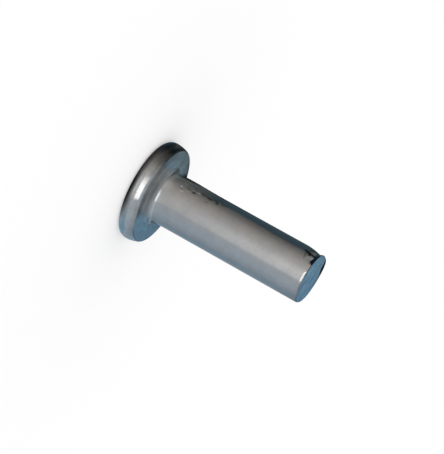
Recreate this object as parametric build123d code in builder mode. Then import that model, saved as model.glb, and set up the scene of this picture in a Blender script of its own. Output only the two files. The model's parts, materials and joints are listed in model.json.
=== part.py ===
"""Solid flat-head rivet, one piece of headed steel wire. Millimetres, +Z up.

The rivet stands on the flat crown of its head. The origin is the centre of the crown, and +Z runs along
the axis to the free end of the shank. The wire was sheared to length, so its free end is pressed in on the
-X side, behind a low lip that the blade left at the end face.
"""
import os

from build123d import *

# Shank
shank_diameter = 5.0
shank_length = 16.1
neck_fillet = 0.45
end_edge_radius = 0.18

# Head
head_diameter = 9.92
head_thickness = 1.71
crown_edge_inset = 0.46
seat_edge_inset = 0.31
widest_height = 0.73

# Sheared side of the free end, measured back from the end face and in from the shank's wall
shear_length = 1.9
shear_floor_from_end = 0.36
shear_depth = 0.23
lip_depth = 0.1
shear_centre_shift = 0.5
cutter_margin = 0.5

shank_radius = shank_diameter / 2
head_radius = head_diameter / 2
crown_radius = head_radius - crown_edge_inset
seat_radius = head_radius - seat_edge_inset
rivet_length = head_thickness + shank_length

with BuildPart() as rivet:
    # Half section: crown, barrel-shaped rim, seat, neck fillet, shank wall and rounded end
    with BuildSketch(Plane.XZ):
        with BuildLine():
            Line((0, 0), (crown_radius, 0))
            EllipticalCenterArc(
                (crown_radius, widest_height),
                crown_edge_inset,
                widest_height,
                start_angle=270,
                arc_size=90,
            )
            EllipticalCenterArc(
                (seat_radius, widest_height),
                seat_edge_inset,
                head_thickness - widest_height,
                start_angle=0,
                arc_size=90,
            )
            Line((seat_radius, head_thickness), (shank_radius + neck_fillet, head_thickness))
            RadiusArc(
                (shank_radius + neck_fillet, head_thickness),
                (shank_radius, head_thickness + neck_fillet),
                neck_fillet,
            )
            Line(
                (shank_radius, head_thickness + neck_fillet),
                (shank_radius, rivet_length - end_edge_radius),
            )
            RadiusArc(
                (shank_radius, rivet_length - end_edge_radius),
                (shank_radius - end_edge_radius, rivet_length),
                -end_edge_radius,
            )
            Line((shank_radius - end_edge_radius, rivet_length), (0, rivet_length))
            Line((0, rivet_length), (0, 0))
        make_face()
    revolve(axis=Axis.Z)

    # Sheared side: a ring turned about a shifted axis meets the shank on the -X side only
    with BuildSketch(Plane.XZ):
        with BuildLine():
            fall_start = (-shank_radius, rivet_length - shear_length)
            floor = (shear_depth - shank_radius, rivet_length - shear_floor_from_end)
            lip = (lip_depth - shank_radius, rivet_length)
            outer_x = -shank_radius - cutter_margin
            TangentArc(fall_start, floor, tangent=(0, 1))
            Line(floor, lip)
            Polyline(
                lip,
                (lip[0], rivet_length + cutter_margin),
                (outer_x, rivet_length + cutter_margin),
                (outer_x, fall_start[1]),
                fall_start,
            )
        make_face()
    revolve(axis=Axis((shear_centre_shift, 0, 0), (0, 0, 1)), mode=Mode.SUBTRACT)

rivet.part.label = "rivet"

os.makedirs("parts", exist_ok=True)
export_step(rivet.part, "parts/rivet.step")
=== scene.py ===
"""Visual model of the rivet: a fine turned mesh that replaces the plain solid, its steel, stage and camera.

Metres, +Z up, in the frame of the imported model. Bearings are degrees round the axis, from -Y towards +X.
A fade has a span of two values: it is 0 at the first and 1 at the second. A window has two spans: it rises
from 0 to 1 over the first and falls back to 0 over the second.
"""
import json
import math
from types import SimpleNamespace

import bpy
import numpy as np
from mathutils import Matrix, Vector


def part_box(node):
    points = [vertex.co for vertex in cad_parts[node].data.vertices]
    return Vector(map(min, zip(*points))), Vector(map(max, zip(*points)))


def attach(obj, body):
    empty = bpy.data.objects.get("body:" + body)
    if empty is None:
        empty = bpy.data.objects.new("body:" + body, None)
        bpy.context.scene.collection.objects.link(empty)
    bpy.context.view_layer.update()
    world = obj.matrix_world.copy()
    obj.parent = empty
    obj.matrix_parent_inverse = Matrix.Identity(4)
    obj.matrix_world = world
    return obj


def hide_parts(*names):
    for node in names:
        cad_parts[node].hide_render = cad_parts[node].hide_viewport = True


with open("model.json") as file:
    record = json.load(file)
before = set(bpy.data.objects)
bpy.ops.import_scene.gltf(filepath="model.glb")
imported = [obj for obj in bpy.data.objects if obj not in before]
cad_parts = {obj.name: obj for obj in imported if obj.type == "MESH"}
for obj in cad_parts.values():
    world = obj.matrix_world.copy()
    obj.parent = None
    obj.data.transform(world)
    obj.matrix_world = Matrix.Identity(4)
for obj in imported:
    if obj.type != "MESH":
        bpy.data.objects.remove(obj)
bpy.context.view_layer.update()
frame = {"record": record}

# Sizes of the part, from the frame
MM = 0.001
mounts = {m["name"]: m for m in frame["record"]["mounts"]}
HEAD_RADIUS = min(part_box("rivet")[1].x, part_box("rivet")[1].y)
SEAT_HEIGHT = mounts["head_seat"]["pos_m"][2]
END_HEIGHT = mounts["free_end"]["pos_m"][2]
SHANK_RADIUS = mounts["shank"]["dims"]["r_mm"] * MM

# Edges of the head, neck and free end
CROWN_EDGE_INSET = 0.46 * MM
SEAT_EDGE_INSET = 0.31 * MM
WIDEST_HEIGHT = 0.62 * MM
TAPER_HEIGHTS = (WIDEST_HEIGHT, 0.95 * MM, 1.37 * MM)
TAPER_ANGLES = (0, 9, 15)
NECK_FILLET = 0.5 * MM
NECK_CONE_ANGLE = 10
NECK_CONE_HEIGHT = 0.1 * MM
FLARE_ANGLE = 7
FLARE_HEIGHT = 1.1 * MM
END_EDGE_RADIUS = 0.18 * MM

CROWN_RADIUS = HEAD_RADIUS - CROWN_EDGE_INSET
SEAT_RADIUS = HEAD_RADIUS - SEAT_EDGE_INSET
FILLET_TOP = SEAT_HEIGHT + NECK_FILLET * (1 - math.sin(math.radians(NECK_CONE_ANGLE)))
NECK_TOP = FILLET_TOP + NECK_CONE_HEIGHT + FLARE_HEIGHT
FACE_RADIUS = SHANK_RADIUS - END_EDGE_RADIUS
WALL_STOP = END_HEIGHT - END_EDGE_RADIUS

# Sheared side of the free end
SHEAR_LENGTH = 1.9 * MM
SHEAR_FLOOR_FROM_END = 0.36 * MM
SHEAR_DEPTH = 0.23 * MM
LIP_DEPTH = 0.1 * MM
SHEAR_CENTRE_SHIFT = 0.5 * MM

# Edge of the free end: it keeps a share of its radius, more on the near right, and is rolled over on the near
# and right sides
SHARP_EDGE_SHARE = 0.3
BLUNT_SHARE = 0.4
BLUNT_SIDES = ((5, 25), (80, 120))
EDGE_LIFT_LENGTH = 0.9 * MM
ROLL_LENGTH = 0.27 * MM
ROLL_DEPTH = 0.04 * MM
ROLL_POWER = 1.3
ROLL_SIDES = ((-9, -4), (110, 150))

# Torn notch behind the lip
NOTCH_BEARINGS = (-62, -34, -26)
NOTCH_FROM_END = (0.0, 0.42 * MM, 0.1 * MM)
NOTCH_LEAST = 0.01 * MM
NOTCH_SLOPE = 0.3
NOTCH_RUN_IN = 0.45 * MM

# Burr on the far edge of the free end, which flares out on the far left
BURR_BEARINGS = (166, 180, 195, 210, 222, 232, 242)
BURR_WIDTHS = (0.0, 0.25 * MM, 0.35 * MM, 0.6 * MM, 0.6 * MM, 0.3 * MM, 0.0)
BURR_TAPER = (0, 0.15 * MM)
BURR_FADE = (-0.06 * MM, 0.14 * MM)
FLARE_OUT = 0.3 * MM
FLARE_OUT_BEARING = -143
FLARE_OUT_SPREAD = 25
FLARE_OUT_FROM_END = (0.35 * MM, 0.02 * MM)
FLARE_OUT_RADII = (0.7 * SHANK_RADIUS, SHANK_RADIUS)

# The shank leans by a hair, its rings tilt by the neck, its end face leans, and it swells above the head on
# the left
SHANK_LEAN = (-0.07 * MM, 0.06 * MM)
NECK_TILT = 0.03
NECK_TILT_LENGTH = 1.5 * MM
FACE_LEAN = 0.02
FACE_LEAN_FROM_END = (0.8 * MM, 0.1 * MM)
SWELL_DEPTH = 0.07 * MM
SWELL_HEIGHT = 3.6 * MM
SWELL_LENGTH = 2.0 * MM
SWELL_SIDES = ((-40, -80), (-120, -160))

# Marks on the shank: bearing, height, half length along the wire, half width and depth in mm, and the
# painted shade (above 0) or painted highlight (below 0) in the dent
MARKS_END = 8.0 * MM
MARKS = [
    (-39.5, 3.45, 0.10, 0.09, 0.020, -0.6),
    (-35, 3.6, 0.12, 0.08, 0.020, 0.2),
    (-29, 3.75, 0.16, 0.06, 0.015, -0.35),
    (-36, 4.3, 0.18, 0.06, 0.010, -0.25),
    (-44, 4.2, 0.20, 0.12, 0.015, 0.2),
    (-41, 4.82, 0.14, 0.09, 0.025, 0.6),
    (-46, 5.22, 0.18, 0.08, 0.020, -0.9),
    (-51, 5.7, 0.40, 0.15, 0.015, 0.4),
    (-49, 6.35, 0.30, 0.16, 0.015, 0.5),
    (-35, 6.3, 0.15, 0.10, 0.005, 0.15),
    (-46.5, 7.17, 0.17, 0.11, 0.015, 0.55),
    (-52, 6.9, 0.50, 0.13, 0.010, 0.4),
    (-54, 7.7, 0.30, 0.12, 0.010, 0.3),
    (-53, 16.55, 0.16, 0.09, 0.005, 0.95),
    (-51, 16.9, 0.26, 0.12, 0.010, 1.0),
    (-51, 17.3, 0.26, 0.10, 0.005, 1.0),
    (-46.5, 17.03, 0.13, 0.11, 0.010, 0.9),
    (-46, 16.64, 0.06, 0.10, 0.004, 0.55),
    (-41, 16.68, 0.05, 0.14, 0.004, 0.38),
    (-34, 16.74, 0.045, 0.16, 0.003, 0.26),
    (-41, 17.38, 0.12, 0.12, 0.0, -0.35),
]
MARK_PAINT_GAIN = 1.7
MARK_HIGHLIGHT_GAIN = 1.2

# Random marks: ragged ones about one bearing (mean, spread) and dings all round. Their ranges are in the
# order of the columns above, from height to the painted shade
MARKS_SEED = 5
RAGGED_COUNT = 22
RAGGED_BEARING = (-50, 3.5)
RAGGED_RANGES = ((3.3, 8.0), (0.06, 0.2), (0.05, 0.1), (0.003, 0.015), (-0.3, 0.4))
DINGS_COUNT = 60
DINGS_BEARING = (-180, 180)
DINGS_RANGES = ((2.7, 8.0), (0.06, 0.16), (0.06, 0.12), (0.002, 0.006), (0, 0.04))

# Finish of each part of the surface: share of light reflected, roughness, and how strongly it is mottled
CROWN_TONE = 0.5
CROWN_ROUGHNESS = 0.2
RIM_TONE = 0.5
RIM_ROUGHNESS = 0.1
RIM_MOTTLE = 0.3
SEAT_TONE = 0.7
SEAT_ROUGHNESS = 0.24
SEAT_MOTTLE = 0.6
SHANK_TONE = 0.45
SHANK_ROUGHNESS = 0.15
FACE_TONE = 0.5
FACE_ROUGHNESS = 0.22
FACE_MOTTLE = 1.0
PLAIN_MOTTLE = 0.15

# Painted shade on the left of the rim, and on the left and the far left of the seat
RIM_SHADE_BEARINGS = (-130, -95, -56, -33, -14)
RIM_SHADE_SHARES = (1.0, 0.11, 0.13, 0.47, 1.0)
SEAT_LEFT_SHADE = 0.22
SEAT_LEFT_SHADE_X = (-2.3 * MM, -4.4 * MM)
SEAT_FAR_SHADE = 0.33
SEAT_FAR_SHADE_X = (0.5 * MM, -1.5 * MM)
SEAT_FAR_SHADE_Y = (1 * MM, 3.5 * MM)

# Painted shade along the seat's edge, which reaches over the bend to the rim on the left
SEAT_EDGE_SHADE = 0.45
SEAT_EDGE_SHADE_FROM_EDGE = (0.95 * MM, 0.5 * MM)
SEAT_EDGE_SHADE_BEARINGS = (-72, -55, -40, -22, 0, 12, 34, 46)
SEAT_EDGE_SHADE_SHARES = (0.0, 0.7, 0.85, 0.75, 0.3, 1.0, 1.0, 0.0)
BEND_SHADE_HEIGHT = 0.2 * MM
BEND_SHADE_SIDES = (-28, -40)

# The near part of the seat is less mottled, and rougher in front of the shank
NEAR_SEAT_Y = (-0.5 * MM, -2 * MM)
NEAR_SEAT_CALM = 0.6
NEAR_SEAT_ROUGHER = 0.14
BESIDE_SHANK_X = (2.2 * MM, 3.4 * MM)

# The fillet blends into the shank's finish. Its foot has painted shade, and a painted highlight on the right
FILLET_BLEND = (0.15 * MM, 0.35 * MM)
FILLET_CALM = 0.7
FOOT_HEIGHTS = (0, 0.05 * MM)
FOOT_SHADE = 0.25
FOOT_HIGHLIGHT = 2.2
FOOT_HIGHLIGHT_SIDES = ((45, 75), (110, 140))

# The neck is brightened by a painted highlight on the near left and a painted glint on the right. The shank
# is dull on the left by its end
NECK_HIGHLIGHT = 0.6
NECK_HIGHLIGHT_START = 0.1 * MM
NECK_HIGHLIGHT_SIDES = ((-5, -40), (-55, -80))
NECK_GLINT = 0.35
NECK_GLINT_WIDTH = 0.12 * MM
NECK_GLINT_SIDES = ((12, 24), (70, 95))
PATINA = 0.5
PATINA_FROM_END = (1.25 * MM, 0.8 * MM)
PATINA_SIDES = ((-46, -54), (-120, -150))

# Painted shade: on the head's edge at the far left, on the seat beside the neck, up the neck, on the free
# end's edge
FAR_EDGE_SHADE = 0.8
FAR_EDGE_SHADE_BEARINGS = (-175, -155, -143, -136, -124, -110)
FAR_EDGE_SHADE_WIDTHS = (0.0, 0.5 * MM, 0.6 * MM, 0.35 * MM, 0.2 * MM, 0.0)
FAR_EDGE_SHADE_FADE = (0, 0.3 * MM)
FAR_EDGE_SHADE_HEIGHT = 0.35 * MM
NECK_WEDGE_SHADE = 0.95
NECK_WEDGE_SHADE_X = ((-3.05 * MM, -2.6 * MM), (-2.4 * MM, -2.0 * MM))
NECK_WEDGE_SHADE_Y = (1.8 * MM, 3.3 * MM)
NECK_SIDE_SHADE = 0.62
NECK_SIDE_SHADE_SIDES = ((-60, -76), (-82, -112))
NECK_SIDE_SHADE_HEIGHTS = ((2.1 * MM, 2.75 * MM), (2.7 * MM, 4.4 * MM))
NEAR_EDGE_SHADE = 0.6
NEAR_EDGE_SHADE_SIDES = ((-27, -24), (-2, 4))

# Steel: tints, the colour of grime and painted shade and the share at which it is full, noises, uneven
# roughness and the height of the relief
WARM_TINT = (1.06, 1.02, 0.96, 1)
COLD_TINT = (0.93, 0.98, 1.04, 1)
GRIME_AND_SHADE_COLOUR = (0.008, 0.01, 0.014, 1)
FULL_GRIME_AND_SHADE = 0.7
PATCHES = {"Scale": 650.0, "Detail": 5.0, "Roughness": 0.6}
CLOUDS = {"Scale": 1000.0, "Detail": 4.0, "Roughness": 0.6}
SPECKLE = {"Scale": 5500.0, "Detail": 3.0}
GRAIN = {"Scale": 9000.0, "Detail": 3.0}
GRAIN_STRETCH = (1, 1, 0.08)
CLOUD_WEIGHT = 2.0
MEAN_BLOTCH = 1.5
UNEVEN_PATCHES = (0.3, 0.7)
UNEVEN_ROUGHNESS = (-0.02, 0.03)
BUMP_HEIGHT = 0.0005 * MM

# Stage: the floor, and the radius in mm at which the mats start, under the rim
FLOOR_REACH = 3.0
FLOOR_COLOUR = (0.65, 0.65, 0.65, 1)
FLOOR_ROUGHNESS = 0.9
FLOOR_LIFT = 0.35
WHITE = (1, 1, 1, 1)
FOOT = 4.75

# Fineness of the mesh: columns round the axis, rows of each run of the half section, and the cards' grid
AROUND = 312
ROWS = {
    "crown": 8, "crown edge": 22, "taper": 18, "seat edge": 16, "seat": 24, "fillet": 16, "cone": 4,
    "flare": 24, "marked wall": 66, "wall": 42, "sheared wall": 44, "end edge": 10, "face": 24,
}
SHEAR_LEAD = 0.2 * MM
POLE_RADIUS = 0.02 * MM
CARD_ROWS = 41
CARD_COLUMNS = 61

# Lengths that differ by less than this count as the same
SAME = 1e-9

# The photograph's frame, the camera fitted to its outline, and where the rivet's middle lies from the frame's
FRAME_WIDTH_PX = 444
FRAME_HEIGHT_PX = 454
CAMERA_DISTANCE = 187.0 * MM
CAMERA_ELEVATION = math.radians(16.17)
AXIS_BELOW_LEVEL = math.radians(28.7)
PX_PER_MM = 10.985
MIDDLE_RIGHT_PX = 6.1
MIDDLE_DOWN_PX = 5.6
SENSOR_MM = 36.0
NEAREST_SEEN = 1 * MM
FARTHEST_SEEN = 10.0


# Shape

def fade(span, value):
    """From 0 at the span's first value to 1 at its second, smooth at both."""
    t = np.clip((value - span[0]) / (span[1] - span[0]), 0, 1)
    return t * t * (3 - 2 * t)


def window(spans, value):
    """From 0 to 1 over the first span and back to 0 over the second."""
    return fade(spans[0], value) * (1 - fade(spans[1], value))


def wrap(degrees):
    """The same bearing between -180 and 180."""
    return (degrees + 180) % 360 - 180


def arc(centre, radii, start, stop, count):
    """Points (radius, height) of an elliptical arc, angles in degrees, without the last point."""
    t = np.radians(np.linspace(start, stop, count, endpoint=False))
    return np.column_stack([centre[0] + radii[0] * np.cos(t), centre[1] + radii[1] * np.sin(t)])


def run(start, stop, count):
    """Points of a straight run, without the last point."""
    t = np.linspace(0, 1, count, endpoint=False)[:, None]
    return (1 - t) * np.array(start) + t * np.array(stop)


def bend(start, corner, stop, count):
    """Points of a rounded corner, without the last point."""
    t = np.linspace(0, 1, count, endpoint=False)[:, None]
    return (1 - t) ** 2 * np.array(start) + 2 * t * (1 - t) * np.array(corner) + t**2 * np.array(stop)


def taper(count):
    """Points of the tapered upper rim, whose slope grows with height."""
    height = np.linspace(TAPER_HEIGHTS[0], TAPER_HEIGHTS[-1], count + 1)
    slope = np.tan(np.radians(np.interp(height, TAPER_HEIGHTS, TAPER_ANGLES)))
    steps = (slope[1:] + slope[:-1]) / 2 * np.diff(height)
    radius = HEAD_RADIUS - np.concatenate([[0], np.cumsum(steps)])
    return np.column_stack([radius, height])


def flare(count):
    """Points of the flare above the neck, whose slope fades with height."""
    rise = np.linspace(0, 1, count + 1)
    slope = np.tan(np.radians(FLARE_ANGLE * (1 - rise) ** 2))
    steps = (slope[1:] + slope[:-1]) / 2 * FLARE_HEIGHT / count
    radius = SHANK_RADIUS + steps.sum() - np.concatenate([[0], np.cumsum(steps)])
    return np.column_stack([radius, NECK_TOP - FLARE_HEIGHT * (1 - rise)])


def section():
    """Half section from the crown's centre to the end face's centre."""
    upper_rim = taper(ROWS["taper"])
    edge_start = tuple(upper_rim[-1])
    edge_rise = SEAT_HEIGHT - edge_start[1]
    edge_corner = (edge_start[0] - edge_rise * math.tan(math.radians(TAPER_ANGLES[-1])), SEAT_HEIGHT)
    neck_flare = flare(ROWS["flare"])
    flare_radius = neck_flare[0][0]
    cone = math.radians(NECK_CONE_ANGLE)
    cone_radius = flare_radius + NECK_CONE_HEIGHT * math.tan(cone)
    fillet_centre = (cone_radius + NECK_FILLET * math.cos(cone), SEAT_HEIGHT + NECK_FILLET)
    shear_start = END_HEIGHT - SHEAR_LENGTH - SHEAR_LEAD
    crown_edge = (CROWN_EDGE_INSET, WIDEST_HEIGHT)
    end_edge = (END_EDGE_RADIUS, END_EDGE_RADIUS)
    rows = [
        run((POLE_RADIUS, 0), (CROWN_RADIUS, 0), ROWS["crown"]),
        arc((CROWN_RADIUS, WIDEST_HEIGHT), crown_edge, -90, 0, ROWS["crown edge"]),
        upper_rim[:-1],
        bend(edge_start, edge_corner, (SEAT_RADIUS, SEAT_HEIGHT), ROWS["seat edge"]),
        run((SEAT_RADIUS, SEAT_HEIGHT), (fillet_centre[0], SEAT_HEIGHT), ROWS["seat"]),
        arc(fillet_centre, (NECK_FILLET, NECK_FILLET), 270, 180 + NECK_CONE_ANGLE, ROWS["fillet"]),
        run((cone_radius, FILLET_TOP), (flare_radius, NECK_TOP - FLARE_HEIGHT), ROWS["cone"]),
        neck_flare[:-1],
        run((SHANK_RADIUS, NECK_TOP), (SHANK_RADIUS, MARKS_END), ROWS["marked wall"]),
        run((SHANK_RADIUS, MARKS_END), (SHANK_RADIUS, shear_start), ROWS["wall"]),
        run((SHANK_RADIUS, shear_start), (SHANK_RADIUS, WALL_STOP), ROWS["sheared wall"]),
        arc((FACE_RADIUS, WALL_STOP), end_edge, 0, 90, ROWS["end edge"]),
        run((FACE_RADIUS, END_HEIGHT), (POLE_RADIUS, END_HEIGHT), ROWS["face"]),
        np.array([(POLE_RADIUS, END_HEIGHT)]),
    ]
    return np.concatenate(rows)


def turned_section():
    """The section turned, rows by columns: the place of each vertex and the part of the surface it is on."""
    rows = section()
    turn = np.linspace(0, 2 * math.pi, AROUND, endpoint=False)
    radius, turn = np.meshgrid(rows[:, 0], turn, indexing="ij")
    height = np.repeat(rows[:, 1][:, None], AROUND, axis=1)
    on_crown = (height < SAME) & (radius < CROWN_RADIUS)
    on_shank = height > FILLET_TOP + SAME
    on_edge = (height > WALL_STOP) & (radius > FACE_RADIUS - SAME)
    return SimpleNamespace(
        turn=turn,
        side=wrap(np.degrees(turn) + 90),
        radius=radius,
        height=height,
        x=radius * np.cos(turn),
        y=radius * np.sin(turn),
        on_crown=on_crown,
        on_rim=(height < SEAT_HEIGHT - SAME) & ~on_crown,
        on_seat=(height > SEAT_HEIGHT - SAME) & ~on_shank,
        on_shank=on_shank,
        on_edge=on_edge,
        on_face=(height > WALL_STOP) & ~on_edge,
    )


def surface_with_painted_light(at):
    """Tone, roughness and mottle of the turned surface, with painted shade, painted highlights and the dull
    end of the shank.
    """
    parts = [at.on_face, at.on_crown, at.on_rim, at.on_seat]
    tone = np.select(parts, [FACE_TONE, CROWN_TONE, RIM_TONE, SEAT_TONE], SHANK_TONE)
    roughnesses = [FACE_ROUGHNESS, CROWN_ROUGHNESS, RIM_ROUGHNESS, SEAT_ROUGHNESS]
    rough = np.select(parts, roughnesses, SHANK_ROUGHNESS)
    mottle = np.select(parts, [FACE_MOTTLE, PLAIN_MOTTLE, RIM_MOTTLE, SEAT_MOTTLE], PLAIN_MOTTLE)

    # Painted shade on the edge of the seat, and on the rim
    edge_shade = np.interp(at.side, SEAT_EDGE_SHADE_BEARINGS, SEAT_EDGE_SHADE_SHARES)
    near_edge = fade(SEAT_EDGE_SHADE_FROM_EDGE, SEAT_RADIUS - at.radius)
    shaded_bend = (at.height > SEAT_HEIGHT - BEND_SHADE_HEIGHT) * at.on_rim * fade(BEND_SHADE_SIDES, at.side)
    tone = tone * (1 - SEAT_EDGE_SHADE * near_edge * edge_shade * np.maximum(at.on_seat, shaded_bend))
    # Painted shade darkens the rim on its left
    tone = np.where(at.on_rim, tone * np.interp(at.side, RIM_SHADE_BEARINGS, RIM_SHADE_SHARES), tone)

    # Fillet and neck, with painted shade and painted highlights
    above_seat = at.height - SEAT_HEIGHT
    up_fillet = fade(FILLET_BLEND, above_seat) * at.on_seat
    mottle = mottle * (1 - FILLET_CALM * up_fillet)
    rough = rough + (SHANK_ROUGHNESS - rough) * up_fillet
    tone = tone + (SHANK_TONE - tone) * up_fillet
    # A painted highlight on the near left of the neck
    up_neck = window(((FILLET_TOP - NECK_HIGHLIGHT_START, FILLET_TOP), (FILLET_TOP, NECK_TOP)), at.height)
    tone = tone * (1 + NECK_HIGHLIGHT * up_neck * window(NECK_HIGHLIGHT_SIDES, at.side))
    # A painted glint round the neck on the right
    at_neck = np.exp(-(((at.height - FILLET_TOP) / NECK_GLINT_WIDTH) ** 2))
    tone = tone * (1 + NECK_GLINT * at_neck * window(NECK_GLINT_SIDES, at.side))
    # Painted shade darkens the fillet's foot, and a painted highlight brightens it on the right
    foot = fade(FOOT_HEIGHTS, above_seat) * (1 - up_fillet) * at.on_seat
    tone = tone * (1 - FOOT_SHADE * foot * (1 - FOOT_HIGHLIGHT * window(FOOT_HIGHLIGHT_SIDES, at.side)))

    # Near part of the seat, and the painted shade on the seat's left and far left
    near_seat = fade(NEAR_SEAT_Y, at.y) * at.on_seat
    mottle = mottle * (1 - NEAR_SEAT_CALM * near_seat)
    before_shank = 1 - fade(BESIDE_SHANK_X, np.abs(at.x))
    rough = rough + NEAR_SEAT_ROUGHER * near_seat * before_shank * (1 - up_fillet)
    far_seat_shade = SEAT_FAR_SHADE * fade(SEAT_FAR_SHADE_X, at.x) * fade(SEAT_FAR_SHADE_Y, at.y)
    tone = tone * (1 - (SEAT_LEFT_SHADE * fade(SEAT_LEFT_SHADE_X, at.x) + far_seat_shade) * at.on_seat)

    # Dull end of the shank
    aged = window(PATINA_SIDES, at.side) * fade(PATINA_FROM_END, END_HEIGHT - at.height)
    tone = np.where(at.on_face, tone, tone * (1 - PATINA * aged))
    return tone, rough, mottle


def head_painted_shade(at):
    """Painted shade on the head's edge at the far left, on the seat beside the neck and up the neck."""
    width = np.interp(at.side, FAR_EDGE_SHADE_BEARINGS, FAR_EDGE_SHADE_WIDTHS)
    into_edge = at.radius - (SEAT_RADIUS - width)
    by_edge = (at.height > SEAT_HEIGHT - FAR_EDGE_SHADE_HEIGHT) & ~at.on_shank
    far = FAR_EDGE_SHADE * fade(FAR_EDGE_SHADE_FADE, into_edge) * fade(FAR_EDGE_SHADE_FADE, width) * by_edge
    wedge_shade = NECK_WEDGE_SHADE * window(NECK_WEDGE_SHADE_X, at.x) * fade(NECK_WEDGE_SHADE_Y, at.y) * at.on_seat
    neck_side_shade = window(NECK_SIDE_SHADE_SIDES, at.side) * window(NECK_SIDE_SHADE_HEIGHTS, at.height)
    return np.maximum(np.maximum(far, wedge_shade), NECK_SIDE_SHADE * neck_side_shade * at.on_shank)


def sheared_depth(turn, height):
    """How far the shear presses the shank in, at an angle from +X."""
    full = SHANK_RADIUS + SHEAR_CENTRE_SHIFT
    start = END_HEIGHT - SHEAR_LENGTH
    floor = END_HEIGHT - SHEAR_FLOOR_FROM_END
    fall = np.clip((height - start) / (floor - start), 0, 1) ** 2 * SHEAR_DEPTH
    rise = np.clip((height - floor) / (END_HEIGHT - floor), 0, 1) * (SHEAR_DEPTH - LIP_DEPTH)
    ring = full - fall + rise
    shift = SHEAR_CENTRE_SHIFT
    left = shift * np.cos(turn) + np.sqrt(ring**2 - (shift * np.sin(turn)) ** 2)
    return np.maximum(0, SHANK_RADIUS - left)


def roll_depth(side, height):
    """Rolled edge of the free end, on the near and right sides."""
    reach = np.clip((height - END_HEIGHT + ROLL_LENGTH) / ROLL_LENGTH, 0, 1)
    return ROLL_DEPTH * reach**ROLL_POWER * window(ROLL_SIDES, side)


def notch_depth(side, height):
    """Torn notch behind the lip: an undercut flank above its valley and a run-in below.

    Also says where the flank is.
    """
    from_end = np.interp(side, NOTCH_BEARINGS, NOTCH_FROM_END, left=0, right=0)
    below = END_HEIGHT - height
    deepest = from_end * NOTCH_SLOPE
    flank = deepest * below / np.maximum(from_end, SAME)
    run_in = deepest * (1 - (below - from_end) / NOTCH_RUN_IN)
    depth = np.clip(np.where(below < from_end, flank, run_in), 0, None)
    return depth, (below < from_end) & (from_end > NOTCH_LEAST)


def drawn_marks(rng, count, draw, bearing_values, ranges):
    """Random marks: each draws its bearing and then its other values, each from its range."""
    return [(draw(*bearing_values), *(rng.uniform(*span) for span in ranges)) for _ in range(count)]


def marks(side, height):
    """Dents in the shank's wall: how deep they are, and their painted shade and painted highlight."""
    depth = np.zeros_like(height)
    dent_shade = np.zeros_like(height)
    dent_highlight = np.zeros_like(height)
    rng = np.random.default_rng(MARKS_SEED)
    ragged = drawn_marks(rng, RAGGED_COUNT, rng.normal, RAGGED_BEARING, RAGGED_RANGES)
    dings = drawn_marks(rng, DINGS_COUNT, rng.uniform, DINGS_BEARING, DINGS_RANGES)
    for mark_side, mark_height, half_length, half_width, mark_depth, mark_shade in MARKS + ragged + dings:
        along = (height - mark_height * MM) / (half_length * MM)
        across = SHANK_RADIUS * np.radians(wrap(side - mark_side)) / (half_width * MM)
        bowl = np.exp(-(along**2 + across**2))
        depth += mark_depth * MM * bowl
        paint_share = mark_shade * np.minimum(1, MARK_PAINT_GAIN * bowl)
        dent_shade = np.maximum(dent_shade, paint_share)
        dent_highlight = np.maximum(dent_highlight, -paint_share)
    return depth, dent_shade, dent_highlight


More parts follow.
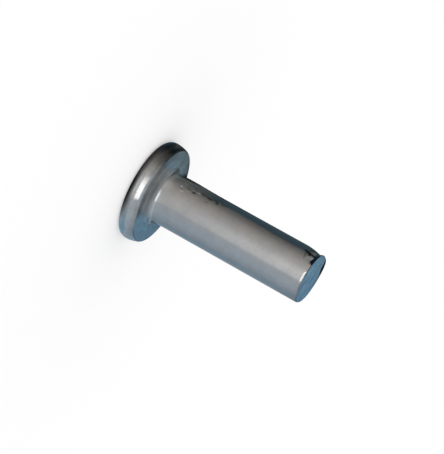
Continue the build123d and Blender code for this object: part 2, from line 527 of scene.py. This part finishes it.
def rivet_surface():
    """Vertices of the rivet, rows by columns, and each one's finish with its painted light and shade."""
    at = turned_section()
    tone, rough, mottle = surface_with_painted_light(at)
    grime_and_shade = head_painted_shade(at)
    side = at.side
    on_wall = at.on_shank & ~at.on_face

    # The free end's edge keeps only a share of its radius
    share = SHARP_EDGE_SHARE + (1 - SHARP_EDGE_SHARE) * BLUNT_SHARE * window(BLUNT_SIDES, side)
    lift = (1 - share) * END_EDGE_RADIUS * fade((END_HEIGHT - EDGE_LIFT_LENGTH, WALL_STOP), at.height)
    edge_height = END_HEIGHT - (END_HEIGHT - at.height) * share
    edge_radius = SHANK_RADIUS - (SHANK_RADIUS - at.radius) * share
    flat_radius = at.radius * (SHANK_RADIUS - END_EDGE_RADIUS * share) / FACE_RADIUS
    height = np.select([at.on_edge, at.on_face], [edge_height, at.height], at.height + lift * at.on_shank)
    radius = np.select([at.on_edge, at.on_face], [edge_radius, flat_radius], at.radius)

    # Dark burr on the far edge of the face, and painted shade along the near edge beside the notch
    burr_width = np.interp(side % 360, BURR_BEARINGS, BURR_WIDTHS)
    into_burr = radius - (SHANK_RADIUS - END_EDGE_RADIUS * share - burr_width)
    burr = fade(BURR_FADE, into_burr) * fade(BURR_TAPER, burr_width) * (at.on_face | at.on_edge)
    dark_edge = NEAR_EDGE_SHADE * window(NEAR_EDGE_SHADE_SIDES, side) * at.on_edge
    grime_and_shade = np.maximum(grime_and_shade, np.maximum(burr, dark_edge))

    # Marks of the shear, which the face shrinks with, and dents
    notch, flank = notch_depth(side, height)
    dents, dent_shade, dent_highlight = marks(side, height)
    # The dents' painted highlights lighten the tone, and their painted shade darkens the colour
    tone = tone * (1 + MARK_HIGHLIGHT_GAIN * dent_highlight * on_wall)
    # The notch's undercut flank is painted black, as shade
    grime_and_shade = np.where(flank & on_wall, 1.0, np.maximum(grime_and_shade, dent_shade * on_wall))
    depth = sheared_depth(at.turn, height) + roll_depth(side, height) + notch
    inward = np.where(at.on_face, radius / SHANK_RADIUS, 1.0) * at.on_shank
    radius = radius - depth * inward - dents * on_wall

    # Flare of the burr, and the swell above the head
    by_burr = np.exp(-((wrap(side - FLARE_OUT_BEARING) / FLARE_OUT_SPREAD) ** 2))
    at_end = fade(FLARE_OUT_FROM_END, END_HEIGHT - height)
    radius = radius + FLARE_OUT * by_burr * at_end * fade(FLARE_OUT_RADII, radius)
    swell = np.exp(-(((height - SWELL_HEIGHT) / SWELL_LENGTH) ** 2)) * window(SWELL_SIDES, side)
    radius = radius + SWELL_DEPTH * swell * (height > SEAT_HEIGHT)

    # Lean of the shank, tilt of the neck and lean of the face
    x = radius * np.cos(at.turn)
    y = radius * np.sin(at.turn)
    up_shank = fade((SEAT_HEIGHT, NECK_TOP), height)
    x = x + np.interp(height, (SEAT_HEIGHT, END_HEIGHT), SHANK_LEAN) * up_shank
    tilt = NECK_TILT * up_shank * (1 - fade((NECK_TOP, NECK_TOP + NECK_TILT_LENGTH), height))
    height = height - tilt * x
    drop = FACE_LEAN * (x + SHANK_RADIUS - SHANK_LEAN[1])
    height = height - drop * fade(FACE_LEAN_FROM_END, END_HEIGHT - height)
    return np.stack([x, y, height], axis=-1), {"tone": tone, "rough": rough, "grime_and_shade": grime_and_shade, "mottle": mottle}


# Meshes and shader nodes

def grid_faces(index):
    """Quads between neighbours in a grid of vertex numbers."""
    quads = np.stack([index[:-1, :-1], index[:-1, 1:], index[1:, 1:], index[1:, :-1]], axis=-1)
    return quads.reshape(-1, 4).tolist()


def add_object(name, points, faces):
    """A mesh object in the scene."""
    mesh = bpy.data.meshes.new(name)
    mesh.from_pydata(points.reshape(-1, 3).tolist(), [], faces)
    made = bpy.data.objects.new(name, mesh)
    bpy.context.scene.collection.objects.link(made)
    return made


def add_material(name):
    """A material with Blender's starting nodes, and its node tree."""
    material = bpy.data.materials.new(name)
    material.use_nodes = True
    return material, material.node_tree


def add_node(tree, kind, inputs=None, **settings):
    """A shader node with its settings, and its inputs given as values or as other nodes' outputs."""
    made = tree.nodes.new(kind)
    for name, value in settings.items():
        setattr(made, name, value)
    for name, value in (inputs or {}).items():
        if isinstance(value, bpy.types.NodeSocket):
            tree.links.new(value, made.inputs[name])
        else:
            made.inputs[name].default_value = value
    return made


def calculate(tree, operation, *values):
    """Result of a Math node."""
    return add_node(tree, "ShaderNodeMath", dict(enumerate(values)), operation=operation).outputs[0]


def attribute(tree, name, output):
    """Output of an Attribute node."""
    return add_node(tree, "ShaderNodeAttribute", attribute_name=name).outputs[output]


def noise(tree, place, settings):
    """Strength of a Noise Texture node."""
    return add_node(tree, "ShaderNodeTexNoise", {"Vector": place, **settings}).outputs["Fac"]


# Rivet

def make_steel():
    """Bare drawn steel: tone and roughness by region, patches of tint, grain along the wire, grime and
    painted shade.
    """
    material, tree = add_material("steel")
    shader = tree.nodes["Principled BSDF"]
    shader.inputs["Specular IOR Level"].default_value = 0.0
    place = add_node(tree, "ShaderNodeTexCoord").outputs["Object"]
    along = add_node(tree, "ShaderNodeMapping", {"Vector": place, "Scale": GRAIN_STRETCH}).outputs[0]
    tone = attribute(tree, "tone", "Fac")
    rough = attribute(tree, "rough", "Fac")
    grime_and_shade = attribute(tree, "grime_and_shade", "Fac")
    mottle = attribute(tree, "mottle", "Fac")
    patches = noise(tree, place, PATCHES)
    clouds = noise(tree, place, CLOUDS)
    speckle = noise(tree, place, SPECKLE)
    grain = noise(tree, along, GRAIN)

    tints = {"Factor": patches, "A": WARM_TINT, "B": COLD_TINT}
    tint = add_node(tree, "ShaderNodeMix", tints, data_type="RGBA").outputs["Result"]
    blotch = calculate(tree, "MULTIPLY_ADD", clouds, CLOUD_WEIGHT, speckle)
    spread = calculate(tree, "SUBTRACT", blotch, MEAN_BLOTCH)
    shade = calculate(tree, "MULTIPLY_ADD", spread, mottle, 1.0)
    toned = calculate(tree, "MULTIPLY", tone, shade)
    clean = add_node(tree, "ShaderNodeVectorMath", {0: tint, "Scale": toned}, operation="SCALE").outputs[0]
    paint_share = add_node(tree, "ShaderNodeMapRange", {"Value": grime_and_shade, "From Max": FULL_GRIME_AND_SHADE}).outputs[0]
    colours = {"Factor": paint_share, "A": clean, "B": GRIME_AND_SHADE_COLOUR}
    colour = add_node(tree, "ShaderNodeMix", colours, data_type="RGBA").outputs["Result"]
    tree.links.new(colour, shader.inputs["Base Color"])

    past_full = {"Value": grime_and_shade, "From Min": FULL_GRIME_AND_SHADE, "To Min": 1.0, "To Max": 0.0}
    metal = add_node(tree, "ShaderNodeMapRange", past_full).outputs[0]
    tree.links.new(metal, shader.inputs["Metallic"])

    unevenness = {"Value": patches, "From Min": UNEVEN_PATCHES[0], "From Max": UNEVEN_PATCHES[1],
                  "To Min": UNEVEN_ROUGHNESS[0], "To Max": UNEVEN_ROUGHNESS[1]}
    uneven = add_node(tree, "ShaderNodeMapRange", unevenness).outputs[0]
    tree.links.new(calculate(tree, "ADD", rough, uneven), shader.inputs["Roughness"])

    relief = {"Height": calculate(tree, "ADD", grain, speckle), "Distance": BUMP_HEIGHT, "Strength": 1.0}
    bump = add_node(tree, "ShaderNodeBump", relief).outputs[0]
    tree.links.new(bump, shader.inputs["Normal"])
    return material


def make_rivet():
    """The rivet's one closed mesh, with its finish, its painted light and shade, and its steel."""
    points, finish_and_painted_light = rivet_surface()
    count, around = points.shape[:2]
    index = np.arange(count * around).reshape(count, around)
    faces = grid_faces(np.column_stack([index, index[:, 0]]))
    faces.append(index[0][::-1].tolist())
    faces.append(index[-1].tolist())
    body = add_object("rivet_body", points, faces)
    body.data.validate()
    body.data.shade_smooth()
    for name, values in finish_and_painted_light.items():
        body.data.attributes.new(name, "FLOAT", "POINT").data.foreach_set("value", values.ravel())
    body.data.materials.append(make_steel())
    return body


# Stage

def one_colour(colour, covers):
    """Stops of a card that has one colour, from rows of (bearing, cover)."""
    return [(degrees, colour, cover) for degrees, cover in covers]


def card(name, profile, stops, strength=1.0):
    """A glowing card round the object that only reflections see, painted with light and shade for the steel
    to mirror.

    Its profile, rows of (radius, height, cover, light) in mm, is turned over the bearings of its stops, rows
    of (bearing, colour, cover). The two covers are multiplied, and the light multiplies the colour.
    """
    profile = np.array(profile)
    steps = np.linspace(0, len(profile) - 1, CARD_ROWS)
    radius, height, rise, light = (np.interp(steps, np.arange(len(profile)), profile[:, k]) for k in range(4))
    bearings = np.array([stop[0] for stop in stops])
    turn = np.linspace(bearings[0], bearings[-1], CARD_COLUMNS)
    tint = np.stack([np.interp(turn, bearings, [stop[1][k] for stop in stops]) for k in range(3)], axis=-1)
    fading = np.interp(turn, bearings, [stop[2] for stop in stops])
    x = np.outer(radius, np.sin(np.radians(turn)))
    y = np.outer(radius, -np.cos(np.radians(turn)))
    z = np.outer(height, np.ones(CARD_COLUMNS))
    index = np.arange(CARD_ROWS * CARD_COLUMNS).reshape(CARD_ROWS, CARD_COLUMNS)
    sheet = add_object(name, MM * np.stack([x, y, z], axis=-1), grid_faces(index))
    opaque = np.ones((CARD_ROWS, CARD_COLUMNS, 1))
    shade = np.concatenate([light[:, None, None] * tint[None], opaque], axis=-1)
    sheet.data.attributes.new("paint", "FLOAT_COLOR", "POINT").data.foreach_set("color", shade.ravel())
    covers = np.outer(rise, fading)
    sheet.data.attributes.new("cover", "FLOAT", "POINT").data.foreach_set("value", covers.ravel())

    material, tree = add_material(name)
    tree.nodes.clear()
    lit = {"Color": attribute(tree, "paint", "Color"), "Strength": strength}
    glow = add_node(tree, "ShaderNodeEmission", lit).outputs[0]
    clear = add_node(tree, "ShaderNodeBsdfTransparent").outputs[0]
    layers = {"Fac": attribute(tree, "cover", "Fac"), 1: clear, 2: glow}
    mix = add_node(tree, "ShaderNodeMixShader", layers).outputs[0]
    add_node(tree, "ShaderNodeOutputMaterial", {"Surface": mix})
    sheet.data.materials.append(material)
    sheet.visible_camera = False
    sheet.visible_diffuse = False
    sheet.visible_shadow = False


def make_cards():
    """What the steel mirrors: glowing cards painted as a ceiling, walls, and mats that lie just above the
    floor.

    Mats that overlap differ in height, and the higher one hides the lower.
    """
    card("ceiling", [(240, 15, 1, 1), (210, 125, 1, 1), (125, 212, 1, 1), (0, 240, 1, 1)],
         one_colour((0.30, 0.325, 0.34), [(0, 1), (360, 1)]))
    card("front_high", [(215, 12, 1, 1), (205, 96, 1, 1), (150, 170, 0, 1)],
         [(-90, (0.42, 0.41, 0.385), 0), (-60, (0.455, 0.475, 0.47), 1), (-30, (0.465, 0.505, 0.535), 1),
          (-12, (0.545, 0.605, 0.665), 1), (40, (0.545, 0.605, 0.67), 1), (75, (0.47, 0.545, 0.61), 0)])
    card("right_high", [(86, 0, 1, 1), (82, 40, 1, 1), (70, 80, 1, 0.9), (30, 110, 0, 0.8)],
         [(40, (0.51, 0.54, 0.55), 0), (70, (0.51, 0.53, 0.53), 1), (110, (0.34, 0.42, 0.48), 1),
          (140, (0.2, 0.36, 0.5), 0)])
    card("back_sweep", [(FOOT, 0.05, 1, 0.4), (6.5, 0.05, 1, 0.75), (10, 0.05, 1, 1), (30, 0.05, 1, 0.9),
                        (60, 0.05, 1, 0.6), (70, 14, 1, 0.15)],
         [(130, (0.31, 0.42, 0.52), 0), (160, (0.42, 0.49, 0.55), 1), (182, (0.44, 0.49, 0.52), 1),
          (194, (0.20, 0.22, 0.21), 1), (256, (0.20, 0.22, 0.21), 1)])
    card("back_right_wall", [(68, 13, 0.5, 0.2), (68.5, 18, 1, 1), (70, 40, 1, 1), (60, 60, 0, 1)],
         one_colour((0.092, 0.184, 0.27), [(110, 0), (130, 1), (177, 1), (183, 0)]))
    card("back_left_wall", [(69, 13, 0.5, 0.2), (69, 18, 1, 1), (69, 25, 1, 1), (69, 31, 0, 1)],
         [(176, (0.115, 0.14, 0.12), 0), (184, (0.115, 0.14, 0.12), 1), (210, (0.13, 0.165, 0.17), 1),
          (236, (0.11, 0.14, 0.145), 1), (256, (0.11, 0.14, 0.145), 0)])
    card("back_high_wall", [(66, 26, 0, 1), (65, 31, 1, 1), (62, 60, 1, 1), (50, 75, 0, 1)],
         [(140, (0.17, 0.27, 0.34), 0), (150, (0.17, 0.27, 0.34), 1), (165, (0.17, 0.30, 0.40), 1),
          (171, (0.17, 0.34, 0.49), 1), (190, (0.17, 0.34, 0.49), 1), (195, (0.18, 0.26, 0.30), 1),
          (205, (0.18, 0.26, 0.30), 1), (215, (0.18, 0.26, 0.30), 0)])
    card("right_sweep", [(FOOT, 0.07, 1, 0.8), (6, 0.07, 1, 0.85), (9, 0.07, 1, 0.96), (62, 0.07, 1, 1),
                         (72, 12, 1, 0.9)],
         [(28, (0.60, 0.64, 0.67), 0), (36, (0.61, 0.66, 0.71), 1), (67, (0.56, 0.65, 0.73), 1),
          (95, (0.46, 0.53, 0.61), 1), (108, (0.35, 0.46, 0.55), 1), (127, (0.31, 0.43, 0.53), 1),
          (150, (0.34, 0.43, 0.53), 1), (165, (0.30, 0.40, 0.50), 0)])
    card("right_near", [(FOOT, 0.08, 1, 1), (7.5, 0.08, 1, 1), (9.5, 0.08, 0, 1)],
         [(12, (0.42, 0.45, 0.48), 0), (25, (0.42, 0.45, 0.48), 1), (50, (0.44, 0.53, 0.60), 1),
          (75, (0.44, 0.53, 0.60), 0)])
    card("right_low", [(FOOT, 0.1, 1, 1), (7, 0.1, 1, 1), (9.5, 0.1, 0, 1)],
         [(36, (0.40, 0.51, 0.61), 0), (48, (0.38, 0.50, 0.61), 0.45), (57, (0.31, 0.48, 0.60), 1),
          (64, (0.27, 0.45, 0.58), 1), (80, (0.27, 0.45, 0.58), 1), (92, (0.27, 0.45, 0.58), 0)])
    card("left_sweep", [(FOOT, 0.06, 1, 0.5), (7, 0.06, 1, 0.75), (11, 0.06, 1, 1), (50, 0.06, 1, 1),
                        (66, 0.06, 1, 1.1), (68, 7, 1, 1.05), (68, 14, 1, 0.7)],
         [(-106, (0.12, 0.14, 0.15), 1), (-81, (0.235, 0.225, 0.21), 1), (-60, (0.42, 0.40, 0.375), 1),
          (-40, (0.575, 0.55, 0.52), 1), (-25, (0.66, 0.64, 0.62), 1), (0, (0.69, 0.68, 0.66), 0)])
    card("left_low", [(FOOT, 0.1, 1, 1), (8, 0.1, 1, 1), (11, 0.1, 0, 1)],
         [(-104, (0.06, 0.105, 0.145), 0), (-92, (0.06, 0.105, 0.145), 1), (-80, (0.07, 0.115, 0.155), 1),
          (-66, (0.10, 0.16, 0.21), 0.8), (-48, (0.14, 0.18, 0.22), 0)])
    card("left_flag", [(15, 0.08, 0, 0.85), (24, 0.08, 1, 0.9), (32, 0.08, 1, 1.05), (50, 0.08, 1, 1.05),
                       (56, 8, 1, 1.05), (56, 14, 0, 1.05)],
         [(-168, (0.06, 0.105, 0.13), 0), (-156, (0.06, 0.105, 0.13), 1), (-102, (0.056, 0.095, 0.118), 1),
          (-98, (0.056, 0.095, 0.118), 0)])
    card("left_flag_far", [(46, 0.09, 0, 1), (54, 0.09, 1, 1), (60, 0.09, 1, 1), (62, 4, 0, 1)],
         one_colour((0.045, 0.07, 0.08), [(-110, 1), (-94, 1), (-92, 0)]))
    card("left_high", [(66, 12, 0, 1), (66, 16, 1, 1), (66, 26, 1, 1), (64, 36, 0, 1)],
         [(-150, (0.32, 0.35, 0.36), 0), (-138, (0.32, 0.35, 0.36), 1), (-100, (0.35, 0.36, 0.35), 1),
          (-80, (0.40, 0.41, 0.40), 0)])
    card("left_corner", [(6, 0.1, 1, 1), (26, 0.1, 1, 1), (40, 0.1, 0, 1)],
         one_colour((0.01, 0.015, 0.02), [(-188, 0), (-176, 1), (-152, 1), (-142, 0)]))
    # A dark mat behind the neck on the far left: painted shade that the seat and neck reflect
    card("neck_corner_shade", [(5.5, 0.11, 0, 1), (7, 0.11, 1, 1), (14, 0.11, 0.9, 1), (20, 0.11, 0, 1)],
         one_colour((0.03, 0.035, 0.035), [(-165, 0), (-150, 1), (-130, 1), (-119, 0.6), (-111, 0)]))
    card("front_mat", [(FOOT, 0.05, 1, 0.6), (6, 0.05, 1, 1.05), (7.5, 0.05, 1, 1.3), (9, 0.05, 1, 1.05),
                       (32, 0.05, 1, 1.25), (62, 0.05, 1, 1.45), (195, 0.05, 1, 1.5)],
         [(-40, (0.66, 0.66, 0.66), 0), (-20, (0.66, 0.66, 0.66), 1), (20, (0.66, 0.66, 0.66), 1),
          (30, (0.58, 0.60, 0.62), 1), (39, (0.57, 0.60, 0.63), 1), (44, (0.57, 0.60, 0.63), 0)])
    card("front_far", [(70, 0.08, 0, 1), (95, 0.08, 0.6, 1), (195, 0.08, 1, 1)],
         one_colour((1.2, 1.17, 1.12), [(-18, 0), (-8, 1), (14, 1), (26, 0)]))
    # A black mat round the foot: painted shade that the rim's underside reflects
    card("foot_shade_mat", [(0, 0.09, 1, 1), (4.9, 0.09, 1, 1), (5.5, 0.09, 0.6, 1), (7, 0.09, 0, 1)],
         one_colour((0, 0, 0), [(-180, 0), (-145, 1), (-70, 0.6), (-40, 0.6), (0, 1), (25, 0.9), (50, 0.2),
                                (75, 0)]))
    card("strip", [(200, 0, 1, 1), (200, 44, 1, 1)],
         one_colour((1.0, 0.99, 0.97), [(-32, 0), (-18, 1), (28, 1), (33, 0)]), strength=2.1)


def make_floor():
    """A pale floor, lifted to white for the camera and for reflections."""
    corners = FLOOR_REACH * np.array([(-1, -1, 0), (1, -1, 0), (1, 1, 0), (-1, 1, 0)])
    floor = add_object("floor", corners, [(0, 1, 2, 3)])
    material, tree = add_material("floor")
    shader = tree.nodes["Principled BSDF"]
    shader.inputs["Base Color"].default_value = FLOOR_COLOUR
    shader.inputs["Roughness"].default_value = FLOOR_ROUGHNESS
    shader.inputs["Specular IOR Level"].default_value = 0.0
    shader.inputs["Emission Color"].default_value = WHITE
    path = add_node(tree, "ShaderNodeLightPath").outputs
    reflected = calculate(tree, "MAXIMUM", path["Is Glossy Ray"], path["Is Transmission Ray"])
    shown = calculate(tree, "MAXIMUM", path["Is Camera Ray"], reflected)
    lift = calculate(tree, "MULTIPLY", shown, FLOOR_LIFT)
    tree.links.new(lift, shader.inputs["Emission Strength"])
    floor.data.materials.append(material)


def make_world():
    """Even white light from all round."""
    world = bpy.data.worlds.new("studio")
    world.use_nodes = True
    world.node_tree.nodes["Background"].inputs["Color"].default_value = WHITE
    world.node_tree.nodes["Background"].inputs["Strength"].default_value = 1.0
    bpy.context.scene.world = world


def make_camera():
    """Looks from -Y, tilted down, and rolled so that +Z points to the lower right."""
    tilt = CAMERA_ELEVATION
    roll = AXIS_BELOW_LEVEL
    towards = Vector((0, -math.cos(tilt), math.sin(tilt)))
    axis_in_picture = Vector((0, math.sin(tilt), math.cos(tilt)))
    side = Vector((1, 0, 0))
    right = math.cos(roll) * axis_in_picture - math.sin(roll) * side
    up = -math.sin(roll) * axis_in_picture - math.cos(roll) * side
    px = MM / PX_PER_MM
    target = Vector((0, 0, END_HEIGHT / 2)) - right * MIDDLE_RIGHT_PX * px + up * MIDDLE_DOWN_PX * px
    data = bpy.data.cameras.new("camera")
    data.sensor_width = SENSOR_MM
    focal_px = PX_PER_MM * CAMERA_DISTANCE / MM
    data.lens = focal_px * SENSOR_MM / max(FRAME_WIDTH_PX, FRAME_HEIGHT_PX)
    data.clip_start = NEAREST_SEEN
    data.clip_end = FARTHEST_SEEN
    camera = bpy.data.objects.new("camera", data)
    turned = Matrix((right, up, towards)).transposed().to_4x4()
    camera.matrix_world = Matrix.Translation(target + towards * CAMERA_DISTANCE) @ turned
    bpy.context.scene.collection.objects.link(camera)
    bpy.context.scene.camera = camera


body = make_rivet()
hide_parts("rivet")
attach(body, "root")

make_floor()
make_world()
make_camera()
make_cards()
bpy.context.scene.view_settings.view_transform = "Standard"
